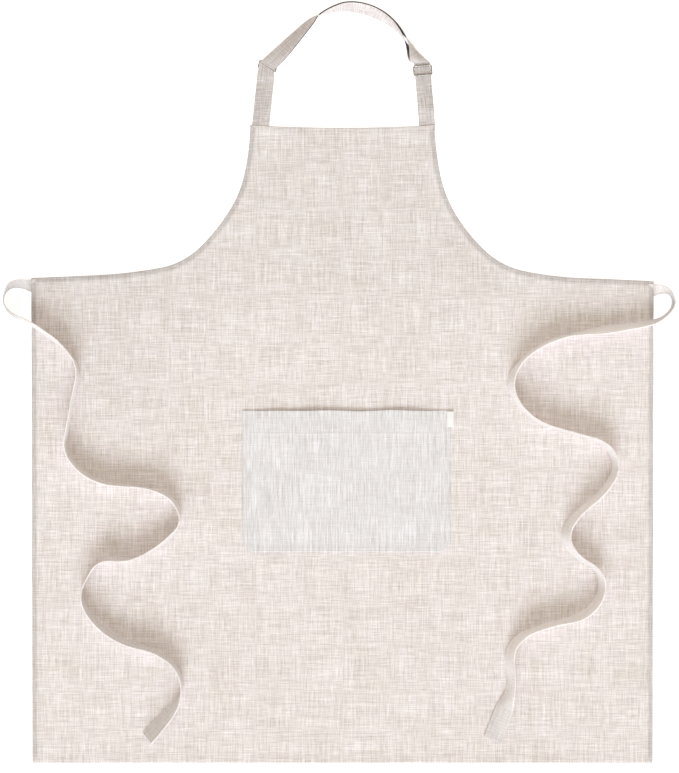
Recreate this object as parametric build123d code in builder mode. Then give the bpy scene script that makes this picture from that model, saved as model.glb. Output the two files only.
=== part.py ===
"""A linen bib apron with a neck loop, a strap slider, a patch pocket and two waist ties.

It lies flat on its back: X runs across it, +Y towards the neck, +Z up out of its front.
The origin is under the middle of the sewn apron (the free ties left out), on the surface
that it lies on. Everything is in millimetres.
"""

import os
from math import cos, radians, sin, tan

from build123d import *

os.makedirs("parts", exist_ok=True)

# Cloth and thread
cloth = 0.8  # one layer of the panel
hem_thick = 1.2  # the two layers turned under along every edge
hem_width = 10.0
strap_cloth = 0.7
thread = 0.5
thread_high = 0.2
stitch_inset = 8.0

# Panel outline
bottom_y = -512.3
bib_top_y = 349.0
bib_sag = 4.0
bib_half = 124.5
waist_half = 420.0
bottom_half = 418.5
armhole = [(124.5, 0), (132.5, 67), (152, 115), (192, 165), (246, 193), (327, 202.5), (420, 206.5)]
armhole_start = 0.02  # how far the armhole leans outward where it leaves the bib
right_armhole_drop = 4.5

# Pocket
pocket_x = 5.0
pocket_wide = 281.0
pocket_mouth_y = -36.5
pocket_tall = 191.0
pocket_rim = 8.0
pocket_slope = 22.0
pocket_lift = 6.0
pocket_corner = 12.0
mouth_hem = 32.0
seam_insets = (2.0, 6.0)  # the pocket's two rows of stitches, in from its sewn edges
label_wide = 9.0
label_tall = 22.0
label_thick = 0.4
label_gap = 0.5  # from the pocket's mouth to the label, where the label turns up

# Neck tab, ring, strap and slider
strap_wide = 21.6
tab_wide = 23.6
fold_wide = 21.5
wire = 0.9  # radius of the ring's and the slider's wire
fold_room = 0.3  # clearance of a fold round a wire
seam_gap = 1.0  # from the bib's edge to the line that the neck loop folds up about
foot_deep = 9.5
sewn_gap = 0.4  # from the line that the neck loop folds up about to its sewn pieces
ring_centre = Vector(-101.0, 428.0, 2.1)
ring_turn = -15.6
ring_pitch = 9.4
ring_corner_radius = 1.2
tab_reach = 12.0  # from the ring's wire to where the tab's two layers meet
tab_point = 3.0  # how far short of that the space inside the tab ends
slider_centre = Vector(108.0, 421.5, 0)
strap_sewn_at = Vector(114.1, bib_top_y, 0)
slider_travel = 40.0
slider_half_long = 6.4
slider_half_wide = 12.05
slider_wire_z = 6.5
slider_bar_z = 2.25
slider_corner_radius = 2.4
bar_thin = 0.95  # the slider's bar, as a share of the frame's wire
bar_corner_radius = 0.95
strap_z = 4.85
loop_wide = 20.2  # the strap's end where it turns round the slider's bar
loop_room = 0.25  # clearance of that turn

# Waist ties: bands that stand on edge
tie_wide = 25.0
tie_root = 17.5  # each tie is pinched to this width where it is sewn in
tie_thick = 1.6
tie_base = 2.4
tie_end = 8.0
left_tie_route = [
    (-421, 132), (-435, 135), (-448, 131), (-456, 118), (-455, 103), (-443, 91), (-424, 84),
    (-403, 70), (-374, 49), (-353, 22), (-361, -16), (-369, -58), (-374, -88), (-355, -117),
    (-318, -137), (-262, -139), (-224, -155), (-215, -187), (-241, -217), (-284, -240),
    (-325, -235), (-344, -261), (-354, -288), (-332, -323), (-292, -350), (-248, -360),
    (-217, -386), (-215, -422), (-238, -449), (-257, -471),
]  # fmt: skip
right_tie_route = [
    (421, 126), (432, 127), (442, 121), (446, 110), (442, 98), (430, 87.5), (412, 80.5), (388, 76.5),
    (357, 72), (318, 67), (279, 58), (244, 36), (223, 6), (233, -27), (265, -55), (315, -68),
    (356, -80), (371, -113), (350, -148), (315, -174), (296, -204), (313, -233), (347, -250),
    (350, -284), (326, -314), (280, -323), (239, -338), (222, -363), (229, -403), (217, -441),
    (205, -473),
]  # fmt: skip

panel_top = hem_thick + cloth
tie_foot_low = {-1: 124.0, 1: 117.5}  # lower edge of each tie's sewn foot, by side
tie_foot_out = 1.8  # how far the foot runs out past the panel's edge
tie_post = 1.2  # thickness of the cloth that turns up from the foot


def save(piece, name):
    """Labels a finished piece and writes it as one STEP file."""
    piece.label = name
    export_step(piece, f"parts/{name}.step")


def armhole_points(side):
    """The armhole's curve from the bib's corner to the waist, on the left (-1) or right (1)."""
    deeper = right_armhole_drop if side > 0 else 0
    full = armhole[2][1]
    return [(side * x, bib_top_y - down - deeper * min(1, down / full)) for x, down in armhole]


# ---------------------------------------------------------------- panel and hems
left_edge = armhole_points(-1)
right_edge = armhole_points(1)
left_waist_y = left_edge[-1][1]
right_waist_y = right_edge[-1][1]

with BuildSketch() as panel_shape:
    with BuildLine():
        Line((-bottom_half, bottom_y), (bottom_half, bottom_y))
        Line((bottom_half, bottom_y), right_edge[-1])
        ThreePointArc(right_edge[0], (0, bib_top_y - bib_sag), left_edge[0])
        Line(left_edge[-1], (-bottom_half, bottom_y))
        for side, edge in ((-1, left_edge), (1, right_edge)):
            heading = Vector(side * armhole_start, -1)
            for start, end in zip(edge, edge[1:]):
                heading = TangentArc(start, end, tangent=heading) % 1
    make_face()

with BuildPart() as front_panel:
    with BuildSketch(Plane.XY.offset(hem_thick)):
        add(panel_shape.sketch)
    extrude(amount=cloth)
save(front_panel.part, "front_panel")


def edge_band(outer, inner, z, high, window, cuts=()):
    """A strip that follows the panel's edge between two insets, seen through a window.

    window and each of cuts are (low x, low y, high x, high y)."""
    with BuildPart() as band:
        with BuildSketch(Plane.XY.offset(z)):
            if outer:
                offset(panel_shape.sketch, amount=-outer)
            else:
                add(panel_shape.sketch)
            offset(panel_shape.sketch, amount=-inner, mode=Mode.SUBTRACT)
            with Locations(((window[0] + window[2]) / 2, (window[1] + window[3]) / 2)):
                Rectangle(window[2] - window[0], window[3] - window[1], mode=Mode.INTERSECT)
            for cut in cuts:
                with Locations(((cut[0] + cut[2]) / 2, (cut[1] + cut[3]) / 2)):
                    Rectangle(cut[2] - cut[0], cut[3] - cut[1], mode=Mode.SUBTRACT)
        extrude(amount=high)
    return band.part


wide_out = waist_half + hem_width
side_near = waist_half - 25  # the side hems' windows reach in to here
armhole_near = bib_half / 2  # and the armholes' windows to here
bottom_hem_top = bottom_y + hem_width
bib_hem_low = bib_top_y - bib_sag - hem_width
tab_foot_x = (-122.9, -99.3)
strap_foot_x = (103.0, 125.0)
foot_clear = 0.3
foot_inside = 1.5  # how far the sewn feet stay inside the bib's edge
foot_cuts = [
    (low - foot_clear, bib_top_y - foot_deep - foot_clear, high + foot_clear, bib_top_y + 1)
    for low, high in (tab_foot_x, strap_foot_x)
]
bib_out = bib_half + hem_width
windows = {
    "bottom": (-wide_out, bottom_y - 1, wide_out, bottom_hem_top),
    "bib_top": (-bib_out, bib_hem_low, bib_out, bib_top_y + 1),
}
for side, hand in ((-1, "left"), (1, "right")):
    near, far = sorted((side * side_near, side * wide_out))
    split = tie_foot_low[side] - foot_clear
    windows[f"{hand}_side"] = (near, bottom_hem_top, far, split)
    near, far = sorted((side * armhole_near, side * wide_out))
    windows[f"{hand}_armhole"] = (near, split, far, bib_hem_low)

for edge, window in windows.items():
    cuts = foot_cuts if edge == "bib_top" else []
    if edge.endswith("armhole"):
        side = -1 if edge.startswith("left") else 1
        near, far = sorted((side * (waist_half - foot_deep - foot_clear), side * wide_out))
        cuts = [(near, window[1], far, window[3])]
    save(edge_band(0, hem_width, 0, hem_thick, window, cuts), f"{edge}_hem")
    lines = edge_band(stitch_inset, stitch_inset + thread, panel_top, thread_high, window)
    save(lines, f"{edge}_stitching")

# ---------------------------------------------------------------- pocket
pocket_low_y = pocket_mouth_y - pocket_tall
mouth_room = 20.0  # how far the hollow is cut past the mouth, so that it is open there


def pocket_level(inset, past_mouth):
    """Centre and size of the pocket's rectangle, drawn in by inset on its three sewn sides."""
    low = pocket_low_y + inset
    high = pocket_mouth_y + past_mouth
    return (pocket_x, (low + high) / 2), (pocket_wide - 2 * inset, high - low)


def pocket_mound(rise, start, inset, past_mouth):
    """A solid mound under the pocket's raised middle, with sloping sewn sides."""
    with BuildPart(mode=Mode.PRIVATE) as mound:
        for level, more in ((start, 0), (start + rise, pocket_slope)):
            centre, size = pocket_level(inset + more, past_mouth)
            with BuildSketch(Plane.XY.offset(level)):
                with Locations(centre):
                    Rectangle(*size)
        loft(ruled=True)
    return mound.part


with BuildPart() as pocket_panel:
    centre, size = pocket_level(0, 0)
    with BuildSketch(Plane.XY.offset(panel_top)) as pocket_rim_shape:
        with Locations(centre):
            Rectangle(*size)
        corners = pocket_rim_shape.vertices().group_by(Axis.Y)[0]
        chamfer(corners, length=pocket_corner)
    extrude(amount=cloth)
    add(pocket_mound(pocket_lift, panel_top + cloth, pocket_rim, 0))
    add(pocket_mound(pocket_lift, panel_top, pocket_rim + cloth, mouth_room), mode=Mode.SUBTRACT)
save(pocket_panel.part, "pocket_panel")

pocket_roof = panel_top + pocket_lift
mouth_hem_wide = pocket_wide - 2 * (pocket_rim + pocket_slope + 3)
with BuildPart() as pocket_top_hem:
    with BuildSketch(Plane.XY.offset(pocket_roof - cloth)):
        with Locations((pocket_x, pocket_mouth_y - mouth_hem / 2)):
            Rectangle(mouth_hem_wide, mouth_hem)
    extrude(amount=cloth)
save(pocket_top_hem.part, "pocket_top_hem")

with BuildPart() as pocket_stitching:
    for inset in seam_insets:
        centre, (wide, tall) = pocket_level(inset, -inset / 2)
        corner_cut = 2.2 * pocket_corner
        with BuildSketch(Plane.XY.offset(panel_top + cloth)):
            with Locations(centre):
                Rectangle(wide, tall)
                Rectangle(wide - 2 * thread, tall - 2 * thread, mode=Mode.SUBTRACT)
            with Locations((pocket_x, pocket_mouth_y)):
                Rectangle(wide - 2 * thread, 4 * inset, mode=Mode.SUBTRACT)
            for side in (-1, 1):
                corner = (pocket_x + side * pocket_wide / 2, pocket_low_y)
                with Locations(Location(corner, 45)):
                    Rectangle(corner_cut, corner_cut, mode=Mode.SUBTRACT)
        extrude(amount=thread_high)
save(pocket_stitching.part, "pocket_stitching")

with BuildPart() as pocket_hem_stitching:
    with BuildSketch(Plane.XY.offset(pocket_roof + cloth)):
        with Locations((pocket_x, pocket_mouth_y - mouth_hem + seam_insets[0])):
            Rectangle(mouth_hem_wide, thread)
    extrude(amount=thread_high)
save(pocket_hem_stitching.part, "pocket_hem_stitching")

label_x = pocket_x + pocket_wide / 2
label_z = panel_top + cloth + thread_high + label_thick
with BuildPart() as pocket_label:
    with BuildSketch(Plane.XY.offset(label_z)):
        with Locations((label_x, pocket_mouth_y - label_gap - label_tall / 2)):
            Rectangle(label_wide, label_tall)
    extrude(amount=label_thick)
save(pocket_label.part, "pocket_label")

# ---------------------------------------------------------------- neck tab and ring
ring_long = Vector(1, 0, 0).rotate(Axis.Z, ring_turn)
ring_short = Vector(0, 1, 0).rotate(Axis.Z, ring_turn)
tab_bar = ring_centre - ring_short * (ring_pitch / 2)
strap_bar = ring_centre + ring_short * (ring_pitch / 2)
fold_in = wire + fold_room
fold_out = fold_in + strap_cloth
low_layer = ring_centre.Z - fold_out
high_layer = ring_centre.Z + fold_in
seam_y = bib_top_y + seam_gap
sewn_start = seam_y + sewn_gap
tab_meet = tab_bar - ring_short * tab_reach

with BuildPart() as neck_ring:
    with BuildLine(Plane(ring_centre, x_dir=ring_long, z_dir=(0, 0, 1))) as ring_path:
        half_long = fold_wide / 2 + fold_room + wire
        FilletPolyline(
            (half_long, -ring_pitch / 2), (half_long, ring_pitch / 2),
            (-half_long, ring_pitch / 2), (-half_long, -ring_pitch / 2),
            radius=ring_corner_radius, close=True,
        )  # fmt: skip
    ring_wire = ring_path.wires()[0]
    with BuildSketch(Plane(ring_wire @ 0, z_dir=ring_wire % 0)):
        Circle(wire)
    sweep(path=ring_wire)
save(neck_ring.part, "neck_ring")

with BuildPart() as left_neck_tab:
    fold_plane = Plane(
        tab_bar + ring_long * (fold_wide / 2) - Vector(0, 0, tab_bar.Z),
        x_dir=ring_short * -1,
        z_dir=ring_long * -1,
    )
    two_layers = low_layer + 2 * strap_cloth
    with BuildSketch(fold_plane):
        with BuildLine():
            Line((tab_reach, low_layer), (0, low_layer))
            ThreePointArc((0, low_layer), (-fold_out, tab_bar.Z), (0, tab_bar.Z + fold_out))
            Line((0, tab_bar.Z + fold_out), (tab_reach, two_layers))
            Line((tab_reach, two_layers), (tab_reach, low_layer))
        make_face()
        with BuildLine():
            Line((tab_reach - tab_point, low_layer + strap_cloth), (0, tab_bar.Z - fold_in))
            ThreePointArc((0, tab_bar.Z - fold_in), (-fold_in, tab_bar.Z), (0, high_layer))
            Line((0, high_layer), (tab_reach - tab_point, low_layer + strap_cloth))
        make_face(mode=Mode.SUBTRACT)
    extrude(amount=fold_wide)
    with BuildSketch(Plane.XY.offset(low_layer)):
        with BuildLine():
            tops = [tab_meet + ring_long * (side * tab_wide / 2) for side in (1, -1)]
            bottoms = [(x, sewn_start) for x in tab_foot_x]
            Polyline(*bottoms, *[(top.X, top.Y) for top in tops], close=True)
        make_face()
    extrude(amount=2 * strap_cloth)
save(left_neck_tab.part, "left_neck_tab")

for name, (low, high) in (("left_tab_foot", tab_foot_x), ("right_strap_foot", strap_foot_x)):
    with BuildPart() as foot:
        with BuildSketch():
            with Locations(((low + high) / 2, bib_top_y - foot_deep)):
                Rectangle(high - low, foot_deep - foot_inside, align=(Align.CENTER, Align.MIN))
        extrude(amount=hem_thick)
    save(foot.part, name)

# ---------------------------------------------------------------- neck strap, two layers
along = (strap_sewn_at - slider_centre).normalized()
across = along.rotate(Axis.Z, 90)
sewn_reach = (strap_sewn_at - slider_centre).length


def on_strap(distance, z):
    """The outer edge of the straight, flat part, at a distance from the slider's middle."""
    point = slider_centre + along * distance + across * (strap_wide / 2)
    return (point.X, point.Y, z)


ring_corner = strap_bar - ring_long * (fold_wide / 2)
straight_turn = -90 + across.get_angle(Vector(1, 0, 0))
twist_start = -10.0
flat_middle = (strap_z + slider_bar_z) / 2
flat_apart = strap_z - slider_bar_z
arch_apart = 2.0
# Each station: where the strap's outer edge is, its heading, its tilt (0 is flat with the
# front up, 90 stands on its outer edge, more leans outward), and how far the layers are apart.
stations = [
    ((ring_corner.X, ring_corner.Y, ring_centre.Z), 90 + ring_turn, 0, 2 * fold_in + strap_cloth),
    ((-84.5, 457, 2.1), 41, 27, 2.8),
    ((-57.5, 481, 1.8), 40, 50, 2.2),
    ((-44, 491.5, 1.4), 31, 62, arch_apart),
    ((-33, 496.5, 1.1), 20, 80, arch_apart),
    ((-17, 501, 1.0), 10, 94, arch_apart),
    ((3.5, 503, 1.1), -3, 110, arch_apart),
    ((23.5, 500, 1.2), -13, 118, arch_apart),
    ((44, 493.5, 1.2), -24, 116, arch_apart),
    ((64, 483.5, 1.1), -37, 104, arch_apart),
    ((80.5, 469.5, 1.0), -45, 90, arch_apart),
    ((91, 457.5, 1.2), -51, 74, arch_apart),
    ((98, 448.5, 1.7), -55, 56, 2.2),
    (on_strap(twist_start, flat_middle), straight_turn, 0, flat_apart),
]


def strap_plane(station, layer):
    """The section plane of one layer: 1 is the outer, running one, -1 the returning one."""
    edge, heading, tilt, apart = station
    outward = Vector(0, 1, 0).rotate(Axis.Z, heading)
    up = Vector(0, 0, 1)
    width_way = up * sin(radians(tilt)) - outward * cos(radians(tilt))
    front_way = up * cos(radians(tilt)) + outward * sin(radians(tilt))
    middle = Vector(*edge) + width_way * (strap_wide / 2) + front_way * (layer * apart / 2)
    return Plane(middle, x_dir=width_way, z_dir=Vector(1, 0, 0).rotate(Axis.Z, heading))


slope_start = slider_travel + slider_half_long + 4  # clear of the slider at the end of its travel
seam_z = low_layer + strap_cloth
seam_reach = sewn_reach - 2.6  # from the slider's middle to where the strap meets its sewn end
running = [strap_plane(station, 1) for station in stations]
for distance, z in ((slope_start, strap_z), (seam_reach, seam_z)):
    running.append(strap_plane((on_strap(distance, z), straight_turn, 0, 0), 1))

with BuildPart() as neck_strap:
    for plane in running:
        with BuildSketch(plane):
            Rectangle(strap_wide, strap_cloth)
    loft(ruled=True)
save(neck_strap.part, "neck_strap")

with BuildPart() as neck_strap_return:
    for station in stations:
        with BuildSketch(strap_plane(station, -1)):
            Rectangle(strap_wide, strap_cloth)
    loft(ruled=True)
    turn_plane = Plane(
        strap_bar + ring_long * (strap_wide / 2) - Vector(0, 0, strap_bar.Z),
        x_dir=ring_short * -1,
        z_dir=ring_long * -1,
    )
    with BuildSketch(turn_plane):
        with Locations((0, strap_bar.Z)):
            Circle(fold_out)
            Circle(fold_in, mode=Mode.SUBTRACT)
        with Locations((-fold_out, strap_bar.Z)):
            Rectangle(2 * fold_out, 3 * fold_out, mode=Mode.SUBTRACT)
    extrude(amount=strap_wide)
save(neck_strap_return.part, "neck_strap_return")

# ---------------------------------------------------------------- slider
slider_plane = Plane(slider_centre, x_dir=across, z_dir=(0, 0, 1))
with BuildPart() as slider_frame:
    with BuildLine(slider_plane.offset(slider_wire_z)) as frame_path:
        FilletPolyline(
            (slider_half_wide, -slider_half_long), (slider_half_wide, slider_half_long),
            (-slider_half_wide, slider_half_long), (-slider_half_wide, -slider_half_long),
            radius=slider_corner_radius, close=True,
        )  # fmt: skip
    frame_wire = frame_path.wires()[0]
    with BuildSketch(Plane(frame_wire @ 0, z_dir=frame_wire % 0)):
        Circle(wire)
    sweep(path=frame_wire)
save(slider_frame.part, "slider_frame")

with BuildPart() as slider_bar:
    with BuildLine(Plane(slider_centre, x_dir=across, z_dir=along)) as bar_path:
        FilletPolyline(
            (-slider_half_wide, slider_wire_z), (-slider_half_wide, slider_bar_z),
            (slider_half_wide, slider_bar_z), (slider_half_wide, slider_wire_z),
            radius=bar_corner_radius,
        )  # fmt: skip
    bar_wire = bar_path.wires()[0]
    with BuildSketch(Plane(bar_wire @ 0, z_dir=bar_wire % 0)):
        Circle(wire * bar_thin)
    sweep(path=bar_wire)
save(slider_bar.part, "slider_bar")

loop_in = wire + loop_room
loop_out = loop_in + strap_cloth
loop_near = 1.2  # the sewn end runs from here, back from the bar's middle,
loop_far = -twist_start - 0.6  # to here
with BuildPart() as strap_end_loop:
    loop_plane = Plane(slider_centre - across * (loop_wide / 2), x_dir=along * -1, z_dir=across)
    with BuildSketch(loop_plane):
        with Locations((0, slider_bar_z)):
            Circle(loop_out)
        with Locations(((loop_near + loop_far) / 2, slider_bar_z)):
            Rectangle(loop_far - loop_near, 2 * strap_cloth)
        with Locations((0, slider_bar_z)):
            Circle(loop_in, mode=Mode.SUBTRACT)
    extrude(amount=loop_wide)
save(strap_end_loop.part, "strap_end_loop")

# ---------------------------------------------------------------- waist ties


def corner_radii(route):
    """One radius per corner: the largest that leaves a tenth of the shorter run straight."""
    points = [Vector(*point) for point in route]
    radii = []
    for before, here, after in zip(points, points[1:], points[2:]):
        turn = radians((here - before).get_angle(after - here))
        shorter = min((here - before).length, (after - here).length)
        radii.append(0.45 * shorter / tan(turn / 2))
    return radii


for hand, side, route in (("left", -1, left_tie_route), ("right", 1, right_tie_route)):
    radii = corner_radii(route)
    print(hand, "tie arc radii", [round(radius, 1) for radius in radii])
    foot_low = tie_foot_low[side]
    with BuildPart() as tie:
        with BuildSketch(Plane.XY.offset(tie_base)):
            with BuildLine() as centre_line:
                FilletPolyline(*route, radius=radii)
            trace(line_width=tie_thick)
        extrude(amount=tie_wide)
        with BuildSketch():
            middle_x = waist_half + (tie_foot_out - foot_deep) / 2
            with Locations((side * middle_x, foot_low + tie_root / 2)):
                Rectangle(foot_deep + tie_foot_out, tie_root)
        extrude(amount=hem_thick)
        with BuildSketch():
            post_x = waist_half + tie_foot_out - tie_post / 2
            with Locations((side * post_x, foot_low + tie_root / 2)):
                Rectangle(tie_post, tie_root)
        extrude(amount=tie_base + 2)
    length = centre_line.wires()[0].length
    print(hand, "tie", round(length, 1), "mm; volume over section times length",
          round(tie.part.volume / (length * tie_thick * tie_wide), 3))  # fmt: skip
    save(tie.part, f"{hand}_waist_tie")

    last = Vector(*route[-1])
    heading = (last - Vector(*route[-2])).normalized()
    with BuildPart() as tie_end_hem:
        with BuildSketch(Plane(last + Vector(0, 0, tie_base), x_dir=heading, z_dir=(0, 0, 1))):
            with Locations((tie_end / 2, 0)):
                Rectangle(tie_end, 1.5 * tie_thick)
        extrude(amount=tie_wide)
    save(tie_end_hem.part, f"{hand}_tie_end_hem")
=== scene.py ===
"""Looks of a linen bib apron laid on its back, with its ties loose.

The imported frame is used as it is: X across the apron, +Y to the neck, +Z out of its front, metres.
"""

from math import cos, pi, radians, sin, tan

import bmesh
import bpy
import numpy as np
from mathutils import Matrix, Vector, noise
from mathutils.geometry import delaunay_2d_cdt


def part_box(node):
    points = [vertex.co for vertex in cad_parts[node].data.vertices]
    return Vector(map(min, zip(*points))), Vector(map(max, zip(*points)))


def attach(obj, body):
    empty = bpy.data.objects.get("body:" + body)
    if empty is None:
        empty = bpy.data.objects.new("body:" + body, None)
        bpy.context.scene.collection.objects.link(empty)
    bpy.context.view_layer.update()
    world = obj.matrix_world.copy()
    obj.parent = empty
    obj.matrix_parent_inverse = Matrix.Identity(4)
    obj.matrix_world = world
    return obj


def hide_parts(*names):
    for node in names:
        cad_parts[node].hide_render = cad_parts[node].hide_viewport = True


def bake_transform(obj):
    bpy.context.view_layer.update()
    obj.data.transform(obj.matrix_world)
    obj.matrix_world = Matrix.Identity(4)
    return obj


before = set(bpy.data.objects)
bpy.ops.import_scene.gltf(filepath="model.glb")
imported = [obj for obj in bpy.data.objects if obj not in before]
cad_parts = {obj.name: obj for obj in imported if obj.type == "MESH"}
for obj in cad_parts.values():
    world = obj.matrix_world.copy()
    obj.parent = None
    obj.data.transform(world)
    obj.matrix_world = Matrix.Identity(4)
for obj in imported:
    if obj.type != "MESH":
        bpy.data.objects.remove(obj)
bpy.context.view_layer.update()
mm = 0.001

UP = np.array([0.0, 0.0, 1.0])
CLOTH_MAP = "cloth"  # the UV map of every woven piece: metres across and along the cloth


# ---- camera, light and floor
def add_camera():
    """Looks straight down, with the whole apron in view."""
    data = bpy.data.cameras.new("camera")
    data.lens = 86.24
    data.clip_start = 0.1
    data.clip_end = 20.0
    camera = bpy.data.objects.new("camera", data)
    camera.location = (-0.00405, -0.00405, 2.5)
    bpy.context.collection.objects.link(camera)
    bpy.context.scene.camera = camera


def add_light():
    """A broad, low, cool key light from the apron's foot, in a soft warm fill."""
    world = bpy.data.worlds.new("studio")
    world.use_nodes = True
    fill = world.node_tree.nodes["Background"]
    fill.inputs["Color"].default_value = (1.0, 0.93, 0.81, 1)
    fill.inputs["Strength"].default_value = 0.675
    bpy.context.scene.world = world
    key = bpy.data.lights.new("key", "SUN")
    key.energy = 2.3
    key.angle = radians(34)
    key.color = (0.82, 0.91, 1.0)
    lamp = bpy.data.objects.new("key", key)
    lamp.rotation_euler = (radians(57), 0, radians(-3))
    bpy.context.collection.objects.link(lamp)


def add_floor():
    """A plain white table, lit a little from within so that it stays white around the cloth."""
    half = 6.0
    mesh = bpy.data.meshes.new("floor")
    corners = [(-half, -half, 0), (half, -half, 0), (half, half, 0), (-half, half, 0)]
    mesh.from_pydata(corners, [], [(0, 1, 2, 3)])
    floor = bpy.data.objects.new("floor", mesh)
    floor.location.z = -0.0004
    bpy.context.collection.objects.link(floor)
    white = Nodes("table_white")
    white.finish(Base_Color=(0.80, 0.80, 0.80, 1), Roughness=0.8)
    white.finish(Emission_Color=(1, 1, 1, 1), Emission_Strength=0.62)
    mesh.materials.append(white.material)


# ---- materials
class Nodes:
    """Short ways to add and join the nodes of one material.

    A socket is given by its name, or as _ and its number."""

    def __init__(self, name):
        self.material = bpy.data.materials.new(name)
        self.material.use_nodes = True
        self.tree = self.material.node_tree
        self.shader = self.tree.nodes["Principled BSDF"]

    def add(self, kind, settings=(), **values):
        node = self.tree.nodes.new(f"ShaderNode{kind}")
        for name, value in dict(settings).items():
            setattr(node, name, value)
        for name, value in values.items():
            self.set(node, int(name[1:]) if name[1:].isdigit() else name, value)
        return node

    def set(self, node, socket, value):
        if isinstance(value, bpy.types.NodeSocket):
            self.tree.links.new(value, node.inputs[socket])
        else:
            node.inputs[socket].default_value = value

    def math(self, operation, a, b=0.0):
        return self.add("Math", {"operation": operation}, _0=a, _1=b).outputs[0]

    def scaled(self, vector, x, y):
        return self.add("Mapping", Vector=vector, Scale=(x, y, 1)).outputs[0]

    def noise(self, vector, detail, rough=0.55):
        node = self.add("TexNoise", Vector=vector, Scale=1.0, Detail=detail, Roughness=rough)
        return node.outputs["Fac"]

    def ramp(self, value, low, high, out_low=0.0, out_high=1.0):
        return self.add("MapRange", Value=value, _1=low, _2=high, _3=out_low, _4=out_high).outputs[0]

    def mix(self, share, a, b, blend="MIX"):
        node = self.add("Mix", {"data_type": "RGBA", "blend_type": blend}, _0=share, _6=a, _7=b)
        return node.outputs[2]

    def finish(self, **values):
        """Sets the shader's sockets; a _ in a name stands for a space."""
        for name, value in values.items():
            self.set(self.shader, name.replace("_", " "), value)

    def bump(self, height, distance, strength):
        node = self.add("Bump", Strength=strength, Distance=distance, Height=height)
        self.finish(Normal=node.outputs[0])


THREAD_PITCH = 0.75 * mm
SLUB_GAIN = (0.118, 0.126, 0.136)  # how far a slub lightens red, green and blue
# Rows of threads: noise along and across a thread, per metre, its detail, the span of it that is
# read, and what that span's two ends add.
SLUBS = [
    (17, 640, 2, 0.3, 0.7, -1, 1), (60, 1150, 2, 0.3, 0.7, -1, 1), (42, 830, 1, 0.60, 0.74, 0, 1.3),
]


def linen(name, pale, grey, blush, warp=1.0, weft=1.0, contrast=1.0, sheen=0.12):
    """Plain-woven linen: slubby threads both ways, over patches of a greyer and a warmer tone."""
    n = Nodes(name)
    place = n.add("UVMap", {"uv_map": CLOTH_MAP}).outputs[0]
    threads = 0.0
    for long, fine, detail, low, high, dark, light in SLUBS:
        wefts = n.noise(n.scaled(place, long, fine), detail)
        warps = n.noise(n.scaled(place, fine, long), detail)
        wefts = n.ramp(wefts, low, high, dark * weft, light * weft)
        warps = n.ramp(warps, low, high, dark * warp, light * warp)
        threads = n.math("ADD", threads, n.math("ADD", wefts, warps))

    wide_bands = n.noise(n.scaled(place, 9, 40), 3, 0.6)
    long_bands = n.noise(n.scaled(place, 40, 9), 3, 0.6)
    bands = n.math("ADD", wide_bands, long_bands)
    clouds = n.noise(n.scaled(place, 31, 27), 4, 0.6)
    toned = n.mix(n.ramp(clouds, 0.36, 0.64), grey, blush)
    toned = n.mix(n.ramp(bands, 0.82, 1.18, 0.35, 0.85), toned, pale)

    tone = n.add("Attribute", {"attribute_name": "tone"}).outputs["Fac"]
    shares = []
    for channel_gain in SLUB_GAIN:
        share = n.math("ADD", n.math("MULTIPLY", threads, channel_gain * contrast), 1.0)
        shares.append(n.math("MULTIPLY", share, tone))
    shade = n.add("CombineColor", _0=shares[0], _1=shares[1], _2=shares[2]).outputs[0]
    n.finish(Base_Color=n.mix(1.0, toned, shade, "MULTIPLY"))

    turns = 2 * pi / THREAD_PITCH
    parts = n.add("SeparateXYZ", _0=place)
    ribs = n.math("SINE", n.math("MULTIPLY", parts.outputs[0], turns))
    picks = n.math("SINE", n.math("MULTIPLY", parts.outputs[1], turns))
    weave = n.math("MULTIPLY", n.math("MULTIPLY", ribs, picks), 0.5)
    height = n.math("ADD", weave, n.math("MULTIPLY", threads, 0.45))
    n.bump(height, 0.12 * mm, 0.6)
    n.finish(Roughness=n.ramp(clouds, 0.3, 0.7, 0.82, 0.94), Specular_IOR_Level=0.25)
    n.finish(Sheen_Weight=sheen, Sheen_Roughness=0.45)
    return n.material


def thread_material():
    """Matt cotton thread with the twist of its plies."""
    n = Nodes("sewing_thread")
    place = n.add("TexCoord").outputs["Object"]
    blotch = n.noise(n.scaled(place, 900, 900), 3)
    n.finish(Base_Color=n.mix(n.ramp(blotch, 0.3, 0.7), (0.72, 0.66, 0.61, 1), (0.84, 0.78, 0.74, 1)))
    n.bump(blotch, 0.05 * mm, 0.5)
    n.finish(Roughness=0.7, Sheen_Weight=0.2)
    return n.material


def label_material():
    """Bright white woven ribbon with fine ribs across it."""
    n = Nodes("woven_label")
    place = n.add("UVMap", {"uv_map": CLOTH_MAP}).outputs[0]
    parts = n.add("SeparateXYZ", _0=place)
    ribs = n.math("SINE", n.math("MULTIPLY", parts.outputs[1], 2 * pi / (0.35 * mm)))
    soft = n.noise(n.scaled(place, 900, 900), 3)
    n.finish(Base_Color=n.mix(n.ramp(soft, 0.3, 0.7), (0.97, 0.97, 0.98, 1), (1.0, 1.0, 1.0, 1)))
    n.bump(n.math("ADD", ribs, soft), 0.03 * mm, 0.6)
    n.finish(Roughness=0.6, Sheen_Weight=0.15)
    return n.material


def metal_material():
    """Aged nickel wire: brushed, with darker and brighter patches."""
    n = Nodes("dark_nickel")
    place = n.add("TexCoord").outputs["Object"]
    wear = n.noise(n.scaled(place, 260, 260), 4)
    scratches = n.noise(n.scaled(place, 2600, 700), 3)
    n.finish(Base_Color=n.mix(n.ramp(wear, 0.35, 0.65), (0.30, 0.28, 0.25, 1), (0.58, 0.56, 0.52, 1)))
    n.finish(Roughness=n.ramp(scratches, 0.3, 0.7, 0.22, 0.42), Metallic=1.0)
    n.bump(scratches, 0.02 * mm, 0.4)
    return n.material


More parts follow.
